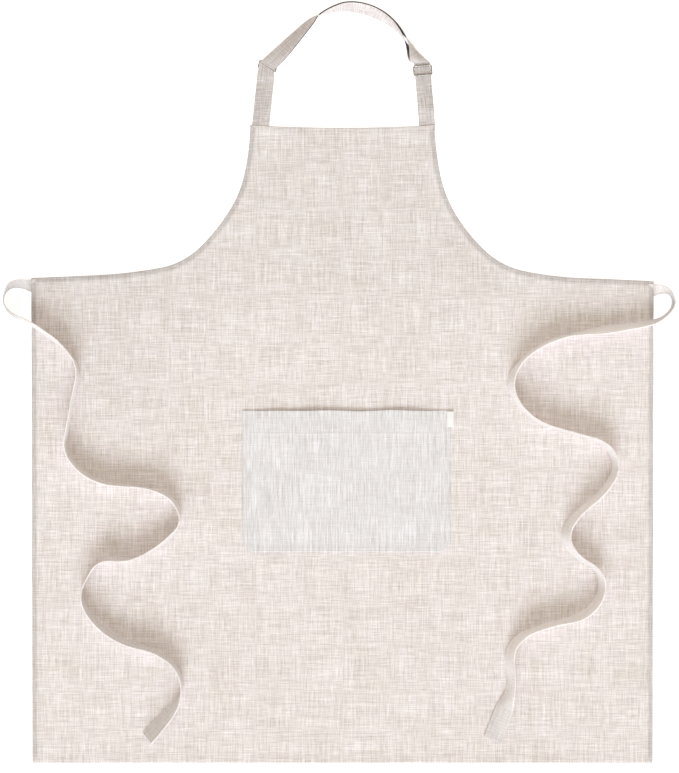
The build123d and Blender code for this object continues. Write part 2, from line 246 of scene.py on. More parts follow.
panel_linen = linen(
    "panel_linen", (0.850, 0.790, 0.788, 1), (0.740, 0.686, 0.640, 1), (0.812, 0.728, 0.722, 1)
)
pocket_linen = linen(
    "pocket_linen", (0.845, 0.824, 0.850, 1), (0.755, 0.732, 0.735, 1), (0.820, 0.782, 0.800, 1),
    warp=1.15, weft=0.45,
)
tape_linen = linen(
    "tape_linen", (0.892, 0.840, 0.836, 1), (0.798, 0.747, 0.733, 1), (0.850, 0.782, 0.780, 1),
    contrast=0.7, sheen=0.8,
)
strap_linen = linen(
    "strap_linen", (0.665, 0.608, 0.598, 1), (0.548, 0.508, 0.494, 1), (0.605, 0.543, 0.536, 1),
    contrast=1.25,
)
thread_cotton = thread_material()
label_weave = label_material()
dark_nickel = metal_material()


# ---- mesh helpers
def new_piece(name, points, faces, material, cloth_uv=None, tone=None):
    """A smooth-shaded mesh piece; cloth_uv is one pair per point, in metres, and tone a shade."""
    mesh = bpy.data.meshes.new(name)
    mesh.from_pydata([tuple(p) for p in points], [], [tuple(map(int, face)) for face in faces])
    mesh.validate()
    mesh.polygons.foreach_set("use_smooth", [True] * len(mesh.polygons))
    if cloth_uv is not None:
        corner_points = np.empty(len(mesh.loops), int)
        mesh.loops.foreach_get("vertex_index", corner_points)
        layer = mesh.uv_layers.new(name=CLOTH_MAP)
        layer.data.foreach_set("uv", np.asarray(cloth_uv, float)[corner_points].ravel())
        shade = mesh.attributes.new("tone", "FLOAT", "POINT")
        shade.data.foreach_set("value", np.ones(len(points)) if tone is None else np.asarray(tone, float))
    mesh.materials.append(material)
    mesh.update()
    piece = bpy.data.objects.new(name, mesh)
    bpy.context.collection.objects.link(piece)
    return piece


def unit(vectors):
    vectors = np.asarray(vectors, float)
    return vectors / np.linalg.norm(vectors, axis=-1, keepdims=True)


def run_lengths(points):
    """Distance along a line of points, at each of them."""
    steps = np.linalg.norm(np.diff(points, axis=0), axis=1)
    return np.concatenate([[0.0], np.cumsum(steps)])


def through(knots, values, at):
    """A smooth curve through values at knots (Catmull-Rom), read at the places in at."""
    knots, values = np.asarray(knots, float), np.asarray(values, float)
    if values.ndim == 1:
        values = values[:, None]
    slopes = np.empty_like(values)
    slopes[1:-1] = (values[2:] - values[:-2]) / (knots[2:] - knots[:-2])[:, None]
    slopes[0] = (values[1] - values[0]) / (knots[1] - knots[0])
    slopes[-1] = (values[-1] - values[-2]) / (knots[-1] - knots[-2])
    at = np.clip(np.asarray(at, float), knots[0], knots[-1])
    i = np.clip(np.searchsorted(knots, at, side="right") - 1, 0, len(knots) - 2)
    span = (knots[i + 1] - knots[i])[:, None]
    t = ((at - knots[i]) / span[:, 0])[:, None]
    a, b, da, db = values[i], values[i + 1], slopes[i] * span, slopes[i + 1] * span
    result = a + t * da + t * t * (3 * (b - a) - 2 * da - db) + t**3 * (2 * (a - b) + da + db)
    return result[:, 0] if result.shape[1] == 1 else result


def smooth_step(value, low, high):
    t = np.clip((np.asarray(value, float) - low) / (high - low), 0, 1)
    return t * t * (3 - 2 * t)


# Half of a sewn tape's section, from its middle to its edge: place across, share of thickness.
HALF_TAPE = [
    (0.0, 0.92), (0.12, 0.94), (0.24, 0.96), (0.33, 0.98), (0.385, 0.93), (0.405, 0.74),
    (0.425, 0.93), (0.455, 1.08), (0.48, 1.02), (0.492, 0.78), (0.498, 0.42), (0.5, 0.0),
]
EDGE_FROM = 0.48  # place across where its edge's painted highlight starts
# Painted highlight: how much paler a tape's edges are painted.
EDGE_HIGHLIGHT = 1.12


def tape(
    name, centres, wide_way, front_way, wide, thick, material, wobble=0.12 * mm, tone=1.0, back_tone=1.0
):
    """A flat sewn tape whose middle follows centres; its section is HALF_TAPE, both ways.

    tone shades its faces, and its edges, painted paler as a highlight, half as much; back_tone shades its
    back once more."""
    centres = np.asarray(centres, float)
    count = len(centres)
    wide = np.broadcast_to(np.asarray(wide, float), (count,))
    thick = np.broadcast_to(np.asarray(thick, float), (count,))
    along = run_lengths(centres)
    half = [(-s, h) for s, h in HALF_TAPE[:0:-1]] + HALF_TAPE
    section = np.array(half + [(s, -h) for s, h in half[-2:0:-1]])
    ring = len(section)
    top = len(half)
    thirds = (-0.5, 0.0, 0.5)
    waver = [[noise.noise(Vector((a * 70, s * 4, 3.0))) for s in thirds] for a in along]
    lift = np.stack([np.interp(section[:, 0], thirds, w) for w in waver]) * wobble
    across = section[None, :, 0] * wide[:, None]
    out = section[None, :, 1] * thick[:, None] / 2 + lift
    points = centres[:, None, :] + wide_way[:, None, :] * across[..., None]
    points = points + front_way[:, None, :] * out[..., None]
    points[..., 2] = np.maximum(points[..., 2], 0.03 * mm)
    faces = []
    for i in range(count - 1):
        for j in range(ring):
            k = (j + 1) % ring
            faces.append((i * ring + j, i * ring + k, (i + 1) * ring + k, (i + 1) * ring + j))
    for first, flip in ((0, False), ((count - 1) * ring, True)):
        for j in range(top - 1):
            upper = (first + j, first + j + 1)
            lower = (first + (ring - j - 1) % ring, first + (ring - j) % ring)
            face = list(dict.fromkeys([*upper, *lower]))
            faces.append(face if flip else face[::-1])
    uv = np.stack([across, np.broadcast_to(along[:, None], across.shape)], axis=-1).reshape(-1, 2)
    tone = np.broadcast_to(tone, (count,))[:, None]
    # Painted highlight along the edges.
    shade = np.where(np.abs(section[:, 0]) > EDGE_FROM, EDGE_HIGHLIGHT * (0.5 + 0.5 * tone), tone)
    shade *= np.where(section[:, 1] < 0, np.broadcast_to(back_tone, (count,))[:, None], 1.0)
    piece = new_piece(name, points.reshape(-1, 3), faces, material, uv, shade.ravel())
    return facing_out(piece)


def facing_out(piece):
    """Turns a closed mesh's faces outward."""
    shell = bmesh.new()
    shell.from_mesh(piece.data)
    bmesh.ops.recalc_face_normals(shell, faces=shell.faces)
    shell.to_mesh(piece.data)
    shell.free()
    return piece


# ---- where the cloth lies
def wave(x, y, size, seed):
    return noise.noise(Vector((x / size, y / size, seed)))


def cloth_top(x, y):
    """Height of the panel's front over the table, away from its hems."""
    slow = 0.42 * wave(x, y, 0.115, 1.7) + 0.2 * wave(x, y, 0.05, 6.1)
    return (1.62 + slow) * mm


LOW, HIGH = (np.array(corner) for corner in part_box("front_panel"))
HEM_RISE = 0.32 * mm  # of a hem's front over the panel's


def painted_falloff_shade(x, y):
    """Painted shade on the panel: a little darker towards the bib and its upper left."""
    high = smooth_step(y, 0.0, 0.2)
    corner = smooth_step(-x, 0.15, 0.3) * smooth_step(y, -0.12, 0.0)
    return 1.03 - 0.055 * high - 0.045 * corner


FEET = [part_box("left_tab_foot"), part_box("right_strap_foot")]
TIE_ROOT_WIDE = 17.5 * mm
TIE_FOOT_DEEP = 10 * mm  # how far a tie reaches in behind the panel
TIE_FOOT_AT = (132.7 * mm, 126.2 * mm)  # up the panel: the left tie's and the right's


def near_foot(x, y):
    """1 where a strap's or tie's sewn foot takes the hem's place behind the panel, else 0."""
    share = 0.0
    boxes = [(low.x, low.y, high.x, high.y) for low, high in FEET]
    for middle, side in zip(TIE_FOOT_AT, (-1, 1)):
        edge = side * HIGH[0]
        near, far = sorted((edge, edge - side * TIE_FOOT_DEEP))
        boxes.append((near, middle - TIE_ROOT_WIDE / 2, far, middle + TIE_ROOT_WIDE / 2))
    for low_x, low_y, high_x, high_y in boxes:
        away = max(low_x - x, x - high_x, low_y - y, y - high_y)
        share = max(share, 1 - smooth_step(away, 0.3 * mm, 2.5 * mm))
    return share


# ---- waist ties
TIE_WIDE = 25 * mm
TIE_END = 8 * mm  # the sewn hem at a tie's free end, past its route
TIE_THICK = 1.8 * mm
HEM_THICKER = 0.45  # the share by which its end's hem is thicker
TIE_FOOT_THICK = 1.1 * mm
TIE_FOOT_Z = 0.62 * mm  # the middle of its sewn foot

# The same points as the ties' tubes, in metres.
LEFT_ROUTE = [
    (-0.421, 0.132), (-0.435, 0.135), (-0.448, 0.131), (-0.456, 0.118), (-0.455, 0.103),
    (-0.443, 0.091), (-0.424, 0.084), (-0.403, 0.070), (-0.374, 0.049), (-0.353, 0.022),
    (-0.361, -0.016), (-0.369, -0.058), (-0.374, -0.088), (-0.355, -0.117), (-0.318, -0.137),
    (-0.262, -0.139), (-0.224, -0.155), (-0.215, -0.187), (-0.241, -0.217), (-0.284, -0.240),
    (-0.325, -0.235), (-0.344, -0.261), (-0.354, -0.288), (-0.332, -0.323), (-0.292, -0.350),
    (-0.248, -0.360), (-0.217, -0.386), (-0.215, -0.422), (-0.238, -0.449), (-0.257, -0.471),
]
RIGHT_ROUTE = [
    (0.421, 0.126), (0.432, 0.127), (0.442, 0.121), (0.446, 0.110), (0.442, 0.098),
    (0.430, 0.0875), (0.412, 0.0805), (0.388, 0.0765), (0.357, 0.072), (0.318, 0.067),
    (0.279, 0.058), (0.244, 0.036), (0.223, 0.006), (0.233, -0.027), (0.265, -0.055),
    (0.315, -0.068), (0.356, -0.080), (0.371, -0.113), (0.350, -0.148), (0.315, -0.174),
    (0.296, -0.204), (0.313, -0.233), (0.347, -0.250), (0.350, -0.284), (0.326, -0.314),
    (0.280, -0.323), (0.239, -0.338), (0.222, -0.363), (0.229, -0.403), (0.217, -0.441),
    (0.205, -0.473),
]


def spline_points(name, route):
    """The route's smooth line, as points read from its NURBS spline."""
    curve = bpy.data.curves.new(name, "CURVE")
    curve.dimensions = "3D"
    spline = curve.splines.new("NURBS")
    spline.points.add(len(route) - 1)
    for point, (x, y) in zip(spline.points, route):
        point.co = (x, y, 0, 1)
    spline.order_u = 3
    spline.use_endpoint_u = True
    spline.resolution_u = 16
    holder = bpy.data.objects.new(name, curve)
    mesh = bpy.data.meshes.new_from_object(holder)
    points = np.array([vertex.co for vertex in mesh.vertices], float)
    bpy.data.objects.remove(holder)
    bpy.data.meshes.remove(mesh)
    return points


def ground(x, y):
    """What a tie's lower edge rests on: the table, or the panel's front."""
    edge = HIGH[0]
    on_panel = 1 - smooth_step(abs(x) - edge, 0.6 * mm, 9 * mm)
    return 0.3 * mm + on_panel * (cloth_top(x, y) + 0.55 * mm)


# How far each tie has risen from flat to its edge, at distances along it from the panel.
RISING_AT = (-0.011, 0, 0.005, 0.015, 0.024, 0.036, 0.052)
RISEN = {"left": (0, 0.2, 0.5, 0.65, 0.78, 0.98, 1), "right": (0, 0.25, 0.5, 0.8, 1, 1, 1)}
# Painted shade on its cloth where it loops out beside the panel.
ROOT_SHADE_AT = (-0.011, 0.004, 0.013, 0.03, 0.05, 0.07, 0.09, 0.11)
ROOT_SHADE = {
    "left": (0.9, 0.82, 0.76, 0.66, 0.5, 0.55, 0.85, 1),
    "right": (1, 1, 0.92, 0.68, 0.62, 0.75, 0.95, 1),
}
# Light comes through the right tie's cloth: a face turned from the light is this much paler.
GLOW = {"left": 0, "right": 0.15}
END_PAINTED_SHADE = 0.1  # how much painted shade darkens it towards its free end


def tie_line(hand, side, route):
    """A tie's middle seen from above: its foot behind the panel, its route and its end's hem."""
    line = spline_points(hand, route)
    heading = unit(np.gradient(line, axis=0))
    foot = [[line[0][0] - side * d, line[0][1], 0] for d in np.array((10, 7, 4, 1.5)) * mm]
    hem = [line[-1] + heading[-1] * d for d in np.linspace(0, TIE_END, 7)[1:]]
    return np.vstack([foot, line, hem])


def waist_tie(hand, route, leans):
    """One tie: a sewn band that leaves the panel flat and soon stands on its edge."""
    side = -1 if hand == "left" else 1
    line = tie_line(hand, side, route)
    heading = unit(np.gradient(line, axis=0))
    along = run_lengths(line) - TIE_FOOT_DEEP
    left = np.cross(UP, heading)
    flat = 90 * (1 - through(RISING_AT, RISEN[hand], along))
    places = [along[np.argmin(np.hypot(line[:, 0] - x * mm, line[:, 1] - y * mm))] for x, y, _ in leans]
    leaning = [a for _, _, a in leans]
    lean = through([0.0, *places, along[-1]], [0.0, *leaning, leaning[-1]], along)
    tilt = 90 - side * flat - lean  # from the left of the heading, over the top
    wide = TIE_ROOT_WIDE + (TIE_WIDE - TIE_ROOT_WIDE) * smooth_step(along, 0, 0.03)
    angle = np.radians(tilt)[:, None]
    wide_way = left * np.cos(angle) + UP * np.sin(angle)
    front_way = np.cross(wide_way, heading)
    floor = np.array([ground(x, y) for x, y, _ in line])
    floor = TIE_FOOT_Z + (floor - TIE_FOOT_Z) * smooth_step(along, 0, 0.01)
    rise = floor + wide / 2 * np.abs(wide_way[:, 2]) + TIE_THICK / 2 * np.abs(front_way[:, 2])
    centres = line.copy()
    centres[:, 2] = np.where(along < 0, TIE_FOOT_Z, rise)
    end = along[-1] - TIE_END
    thick = np.where(along < 0, TIE_FOOT_THICK, TIE_THICK)
    thick = thick * (1 + HEM_THICKER * smooth_step(along, end - 0.6 * mm, end + 0.6 * mm))
    front_glow = 1 + GLOW[hand] * smooth_step(front_way[:, 1], 0.1, 0.8)
    back_glow = 1 + GLOW[hand] * smooth_step(-front_way[:, 1], 0.1, 0.8)
    # Painted shade where it loops out beside the panel.
    tone = through(ROOT_SHADE_AT, ROOT_SHADE[hand], along) * front_glow
    # Painted shade towards its free end, where its lower part lies in its own shade.
    shade_from, shade_to = (0.55, 0.7) if hand == "left" else (end - 0.06, end - 0.03)
    tone *= 1 - END_PAINTED_SHADE * smooth_step(along, shade_from, shade_to)
    piece = tape(
        f"{hand}_tie_band", centres, wide_way, front_way, wide, thick, tape_linen, 0.3 * mm, tone,
        back_glow / front_glow,
    )
    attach(piece, "apron")
    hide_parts(f"{hand}_waist_tie", f"{hand}_tie_end_hem")


# How far a tie's top edge leans to the left of its heading: x and y in millimetres, degrees.
LEFT_LEANS = [
    (-456, 118, 9), (-455, 103, 10), (-443, 91, 9), (-424, 84, 9), (-408, 74, 13), (-385, 57, 13),
    (-366, 42, 5), (-357, 20, 0), (-370, -60, 0), (-372, -88, -3),
    (-350, -118, -5), (-325, -133, -4), (-300, -139, 0), (-262, -141, 1), (-235, -150, -3),
    (-222, -165, -6), (-217, -188, 4), (-228, -205, -6), (-250, -222, -8), (-275, -234, -5),
    (-297, -238, 1), (-325, -240, 1), (-342, -258, 3), (-352, -280, 5), (-350, -295, 0),
    (-335, -318, -8), (-315, -337, -10), (-292, -350, -7), (-262, -358, -3), (-235, -370, -2),
    (-218, -395, -2), (-216, -418, 5), (-223, -433, 21), (-237, -448, 38), (-257, -471, 44),
]
RIGHT_LEANS = [
    (441, 98, 0), (430, 87.5, 5), (418, 82.5, 13), (405, 79, 17), (388, 76.5, 19), (370, 74, 22),
    (352, 71.5, 23), (338, 69.5, 19), (322, 67.5, 11), (306, 64, 5),
    (290, 61, 7), (262, 50, 6), (240, 33, 6), (228, 15, 15), (225, -5, 15), (232, -25, 9),
    (250, -44, 6), (290, -63, 6), (330, -72, 6), (355, -82, 9), (366, -105, 12), (340, -158, 12),
    (318, -173, 13), (302, -190, 20), (300, -208, 22), (312, -232, 14), (335, -247, 10),
    (350, -270, 14), (348, -290, 15), (326, -312, 14), (290, -322, 8), (250, -332, 9),
    (228, -352, 20), (223, -375, 26), (227, -400, 21), (224, -420, 30), (217, -438, 62),
    (205, -473, 85),
]

add_camera()
waist_tie("left", LEFT_ROUTE, LEFT_LEANS)
waist_tie("right", RIGHT_ROUTE, RIGHT_LEANS)


# ---- the panel
def rim_edges(faces):
    """The edges that one face alone has, in that face's direction."""
    rims = {}
    for face in faces:
        for a, b in zip(face, face[1:] + face[:1]):
            if (b, a) in rims:
                del rims[(b, a)]
            else:
                rims[(a, b)] = True
    return list(rims)


def panel_sides():
    """The panel's outline as six sides, each a line of points, anticlockwise from the bottom left.

    The points come from the front face of the CAD panel, and its corners are where it turns."""
    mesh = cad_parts["front_panel"].data
    top = max(v.co.z for v in mesh.vertices)
    place = {}
    tops = []
    for polygon in mesh.polygons:
        corners = [mesh.vertices[i].co for i in polygon.vertices]
        if min(c.z for c in corners) < top - 1e-5:
            continue
        tops.append([(round(c.x, 6), round(c.y, 6)) for c in corners])
        place.update(zip(tops[-1], [(c.x, c.y) for c in corners]))
    nexts = dict(rim_edges(tops))
    start = min(place, key=lambda k: k[0] + k[1])
    loop = [start]
    while nexts[loop[-1]] != start:
        loop.append(nexts[loop[-1]])
    points = np.array([place[k] for k in loop])
    before = unit(points - np.roll(points, 1, axis=0))
    after = unit(np.roll(points, -1, axis=0) - points)
    turns = np.degrees(np.arccos(np.clip((before * after).sum(1), -1, 1)))
    corners = [i for i, turn in enumerate(turns) if turn > 40]
    sides = []
    for a, b in zip(corners, corners[1:] + [corners[0] + len(points)]):
        sides.append(np.array([points[i % len(points)] for i in range(a, b + 1)]))
    return sides


class Side:
    """One side of the outline, with its inward normals and the room its corners take inside."""

    def __init__(self, points, spacing):
        reach = run_lengths(points)
        dense = np.linspace(0, reach[-1], max(8, int(reach[-1] / mm)))
        self.line = through(reach, points, dense)
        self.reach = run_lengths(self.line)
        way = unit(np.gradient(self.line, axis=0))
        self.start_way, self.end_way = way[0], way[-1]
        self.normal = np.stack([-way[:, 1], way[:, 0]], axis=1)
        self.count = max(4, round(self.reach[-1] / spacing))

    def ring(self, inset):
        """The side's points, inset by that much and shortened to meet its neighbours."""
        share = np.linspace(0, 1, self.count, endpoint=False)
        length = self.reach[-1]
        start, end = inset * self.start_trim, inset * self.end_trim
        u = start + share * (length - start - end)
        line = np.stack([np.interp(u, self.reach, self.line[:, k]) for k in (0, 1)], axis=1)
        normal = unit(np.stack([np.interp(u, self.reach, self.normal[:, k]) for k in (0, 1)], axis=1))
        return line + normal * inset


def join_sides(sides):
    """Tells each side how much its corners take from it per unit of inset."""
    for one, other in zip(sides, sides[1:] + sides[:1]):
        turn = np.arccos(np.clip(one.end_way @ other.start_way, -1, 1))
        one.end_trim = other.start_trim = tan(turn / 2)


# The outline's sides in their order, and 1 for those whose hem gets more painted shade.
SIDES = {"bottom": 0, "right_side": 1, "right_armhole": 1, "bib_top": 0, "left_armhole": 1, "left_side": 1}
# (inset, rise over the hem's own front) across the hem, in millimetres
HEM_RINGS = [
    (0.0, -0.9), (0.12, -0.4), (0.4, -0.12), (1.2, 0.02), (3.2, 0.03), (5.6, 0.02), (7.3, 0.0),
    (8.0, -0.09), (8.6, -0.01), (9.6, -0.05), (10.6, -0.16), (12.2, -0.27), (14.5, -0.32),
]
# Painted shade: the panel's rim and its hems are painted darker than the panel.
RIM_TONE = 0.84
HEM_TONE = 0.97
SIDE_HEM_SHADE = 0.19  # how much more painted shade darkens those hems
GRID = 6 * mm
TURNED = 9.8  # how far in the hem's turned layer reaches, in millimetres
LAYER = 0.85 * mm  # the panel's cloth, with its weave
HEM_BACK = 0.06 * mm  # from the table to a hem's back
FOOT_ROOM = 1.28 * mm  # from the table to the hem over a sewn foot


def within(line, spots):
    """Which spots lie inside a closed line and clear of its points."""
    inside = np.zeros(len(spots), bool)
    for (ax, ay), (bx, by) in zip(line, np.roll(line, -1, axis=0)):
        crosses = (ay > spots[:, 1]) != (by > spots[:, 1])
        with np.errstate(divide="ignore", invalid="ignore"):
            reach = (bx - ax) * (spots[:, 1] - ay) / (by - ay) + ax
        inside ^= crosses & (spots[:, 0] < reach)
    for x, y in line:
        inside &= (spots[:, 0] - x) ** 2 + (spots[:, 1] - y) ** 2 > (0.55 * GRID) ** 2
    return inside


def filling(ring):
    """What fills a ring of points: a square grid, and triangles between its rim and the ring.

    It gives the grid's points, and faces that count the ring's points first and then the grid's."""
    around = len(ring)
    xs = np.arange(-0.426, 0.427, GRID)
    ys = np.arange(LOW[1] + 4 * mm, HIGH[1], GRID)
    gx, gy = np.meshgrid(xs, ys)
    spots = np.stack([gx.ravel(), gy.ravel()], axis=1)
    keep = within(ring, spots).reshape(gx.shape)
    cells = keep[:-1, :-1] & keep[1:, :-1] & keep[:-1, 1:] & keep[1:, 1:]
    used = np.zeros_like(keep)
    for dy in (0, 1):
        for dx in (0, 1):
            used[dy : dy + cells.shape[0], dx : dx + cells.shape[1]] |= cells
    number = -np.ones(keep.shape, int)
    number[used] = np.arange(used.sum())
    grid_points = spots.reshape(*keep.shape, 2)[used]
    squares = list(zip(*np.nonzero(cells)))
    quads = [(number[r, c], number[r, c + 1], number[r + 1, c + 1], number[r + 1, c]) for r, c in squares]
    taken = set(squares)

    rims = rim_edges(quads)
    rim = sorted({p for edge in rims for p in edge})
    rim_number = {p: i + around for i, p in enumerate(rim)}
    flat = [Vector(p) for p in ring] + [Vector(grid_points[p]) for p in rim]
    edges = [(i, (i + 1) % around) for i in range(around)]
    edges += [(rim_number[p], rim_number[q]) for p, q in rims]
    points, _, triangles, origins = delaunay_2d_cdt(flat, edges, [], 1, 1e-7)[:4]
    whole = [o[0] if o[0] < around else around + rim[o[0] - around] for o in origins]
    faces = []
    for face in triangles:
        middle = sum((points[i] for i in face), Vector((0, 0))) / len(face)
        cell = (int((middle.y - ys[0]) // GRID), int((middle.x - xs[0]) // GRID))
        if cell not in taken:
            faces.append(tuple(whole[i] for i in face))
    faces += [tuple(around + i for i in quad) for quad in quads]
    return grid_points, faces


def panel_mesh():
    """The panel: rings across its hems round a filling, as a front and a back that share a rim."""
    sides = [Side(points, 3.5 * mm) for points in panel_sides()]
    join_sides(sides)
    rings = [np.vstack([side.ring(inset * mm) for side in sides]) for inset, _ in HEM_RINGS]
    around = len(rings[0])
    grid_points, filled = filling(rings[-1])
    faces = []
    for level in range(len(rings) - 1):
        low, high = level * around, (level + 1) * around
        for i in range(around):
            k = (i + 1) % around
            faces.append((low + i, low + k, high + k, high + i))
    faces += [tuple((len(rings) - 1) * around + i for i in face) for face in filled]
    plan = np.vstack([*rings, grid_points])

    def each_point(values, inside):
        return np.concatenate([values, np.full(len(grid_points), inside)])

    insets, rises = zip(*HEM_RINGS)
    rise = each_point(np.repeat(rises, around), rises[-1])
    inset = each_point(np.repeat(insets, around), 30.0)
    one_ring = np.repeat(np.array(list(SIDES.values()), float), [side.count for side in sides])
    darker = each_point(np.tile(one_ring, len(rings)), 0.0)
    own = np.array([cloth_top(x, y) for x, y in plan])
    top = own + HEM_RISE + rise * mm
    # the turned hem lies on the table, or over a foot; inside it there is one layer
    back = np.where(inset < TURNED, HEM_BACK, np.where(inset < 10.5, 0.3 * mm, top - LAYER))
    foot = np.array([near_foot(x, y) if d < 12 else 0.0 for (x, y), d in zip(plan, inset)])
    back = back + foot * np.maximum(0, FOOT_ROOM - back)
    front_points = np.column_stack([plan, top])
    back_points = np.column_stack([plan, back])[around:]
    count = len(front_points)

    def behind(i):
        return i if i < around else count + i - around

    whole = np.vstack([front_points, back_points])
    all_faces = faces + [tuple(behind(i) for i in face[::-1]) for face in faces]
    uv = np.vstack([plan, plan[around:] + 0.37])
    # Painted shade: darker rim and hems, and the sides' hems more.
    tone = np.where(inset < 0.3, RIM_TONE, np.where(inset < 7.5, HEM_TONE, 1.0))
    tone = tone * (1 - SIDE_HEM_SHADE * darker * smooth_step(inset, 7.4, 5.5))
    # Painted shade, darker towards the bib and its upper left.
    tone = tone * painted_falloff_shade(plan[:, 0], plan[:, 1])
    shade = np.concatenate([tone, tone[around:]])
    piece = facing_out(new_piece("linen_panel", whole, all_faces, panel_linen, uv, shade))
    return piece, sides


panel, outline = panel_mesh()
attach(panel, "apron")
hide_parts("front_panel", *[f"{edge}_hem" for edge in SIDES])


# ---- stitching
STITCH_PITCH = 3.1 * mm
STITCH_LONG = 2.5 * mm
STITCH_RADIUS = 0.24 * mm
# Along one stitch: share of its length, share of its radius, height over the cloth in radii.
STITCH_SHAPE = [(0.0, 0.35, -1.1), (0.18, 0.9, 0.1), (0.5, 1.0, 0.55), (0.82, 0.9, 0.1), (1.0, 0.35, -1.1)]


def stitches(name, lines, replaced):
    """Rows of separate short stitches; each line is points on the cloth's surface."""
    points, faces = [], []
    sides = 6
    for line in lines:
        line = np.asarray(line, float)
        reach = run_lengths(line)
        for begin in np.arange(STITCH_PITCH / 2, reach[-1] - STITCH_LONG, STITCH_PITCH):
            first = len(points)
            for share, size, high in STITCH_SHAPE:
                u = begin + share * STITCH_LONG
                here = np.array([np.interp(u, reach, line[:, k]) for k in range(3)])
                nearby = np.array([np.interp(u + 0.3 * mm, reach, line[:, k]) for k in range(3)])
                way = unit(nearby - here)
                sideways = unit(np.cross(UP, way))
                over = np.cross(way, sideways)
                middle = here + over * high * STITCH_RADIUS
                for k in range(sides):
                    angle = 2 * pi * k / sides
                    out = sideways * cos(angle) + over * sin(angle)
                    points.append(middle + out * size * STITCH_RADIUS)
            for level in range(len(STITCH_SHAPE) - 1):
                for k in range(sides):
                    m = (k + 1) % sides
                    low, top = first + level * sides, first + (level + 1) * sides
                    faces.append((low + k, low + m, top + m, top + k))
            faces.append([first + k for k in range(sides)][::-1])
            faces.append([first + (len(STITCH_SHAPE) - 1) * sides + k for k in range(sides)])
    piece = facing_out(new_piece(name, points, faces, thread_cotton))
    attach(piece, "apron")
    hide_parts(replaced)


def hem_rows():
    """The hem's line of stitches, on each side of the outline, at its inset."""
    for name, side in zip(SIDES, outline):
        line = side.ring(8 * mm)
        rows = [[(x, y, cloth_top(x, y) + HEM_RISE - 0.16 * mm) for x, y in line]]
        stitches(f"{name}_thread", rows, f"{name}_stitching")


hem_rows()


# ---- pocket
POCKET_LOW, POCKET_HIGH = (np.array(corner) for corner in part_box("pocket_panel"))
POCKET_CORNER = 12 * mm
MOUTH_HEM = 32 * mm
HEM_LINE = POCKET_HIGH[1] - MOUTH_HEM
SEAMS = (2 * mm, 6 * mm)  # the sewn sides' two rows of stitches, from the edge
SEWN = 8.5 * mm  # how far in the pocket is held to the panel
POCKET_LAYER = 0.95 * mm
POCKET_HEM = 1.45 * mm  # the turned cloth along its mouth
ON_PANEL = 0.1 * mm  # between the panel's front and the pocket's back


def pocket_depths(x, y):
    """Distances from the pocket's nearest sewn side, and down from its mouth."""
    sides = min(x - POCKET_LOW[0], POCKET_HIGH[0] - x)
    low = y - POCKET_LOW[1]
    corner = (sides + low - POCKET_CORNER) / 2**0.5
    return min(sides, low, corner), POCKET_HIGH[1] - y


def pocket_front(x, y):
    """Height of the pocket's front: flat and ridged at its seams, standing off inside them."""
    sewn, down = pocket_depths(x, y)
    rounded = 0.9 * smooth_step(min(sewn, down * 2 + 2 * mm), -0.2 * mm, 0.9 * mm)
    seam = 0.28 * smooth_step(sewn, 9 * mm, 6.8 * mm)
    dips = sum(0.2 * max(0.0, 1 - abs(sewn - inset) / (0.9 * mm)) for inset in SEAMS)
    open_share = smooth_step(sewn, SEAMS[1], 55 * mm)
    open_share *= 0.6 + 0.4 * smooth_step(down, 0.15, 0.0)
    folds = 0.5 + 0.5 * wave(x, y, 0.055, 12.4) + 0.35 * wave(x, y, 0.024, 3.3)
    lift = open_share * (1.7 + 1.6 * folds)
    mouth = 0.2 * smooth_step(down, MOUTH_HEM + 1.2 * mm, MOUTH_HEM - 1.2 * mm)
    dip = 0.1 * max(0.0, 1 - abs(down - MOUTH_HEM + 2 * mm) / (0.9 * mm)) if sewn > 8 * mm else 0
    return cloth_top(x, y) + (0.25 + rounded + seam - dips + lift + mouth - dip) * mm


def ease(count, low, high, fine):
    """Places from low to high, with close ones near both ends."""
    ends = np.array(fine) * mm
    middle = np.linspace(low + ends[-1], high - ends[-1], count)
    return np.concatenate([low + ends[:-1], middle, (high - ends[:-1])[::-1]])


